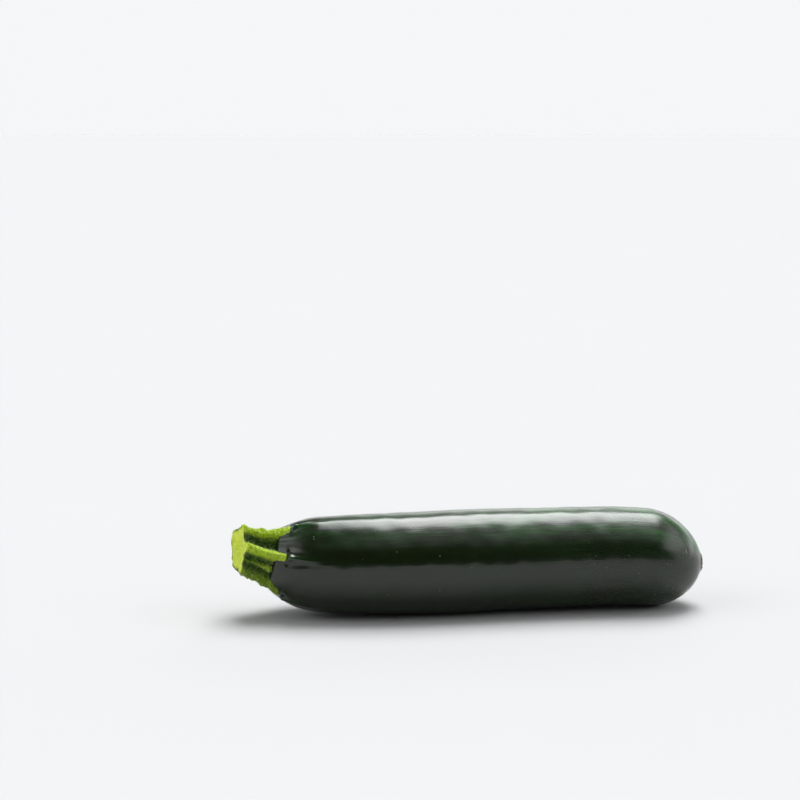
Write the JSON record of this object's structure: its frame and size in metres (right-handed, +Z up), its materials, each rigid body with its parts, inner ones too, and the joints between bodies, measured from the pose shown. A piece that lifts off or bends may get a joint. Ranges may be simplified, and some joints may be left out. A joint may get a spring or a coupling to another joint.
{
  "type": "courgette",
  "caption": "Dark green courgette as picked, a long glossy fruit with faint ribs, a cut ridged stem at one end and a low blossom scar at the other.",
  "frame": {"origin": "middle of the courgette's bounding box, on the surface that it lies on", "axes": "+X along the fruit towards the blossom end, +Z up, -Y the side that the stem leans to"},
  "size_m": [0.2036, 0.049, 0.0436],
  "materials": {
    "skin": "glossy, dark green, with small pale specks",
    "stem": "matt lime green, paler on the cut"
  },
  "bodies": {
    "root": {"fruit": "skin", "stem": "stem"}
  },
  "joints": []
}
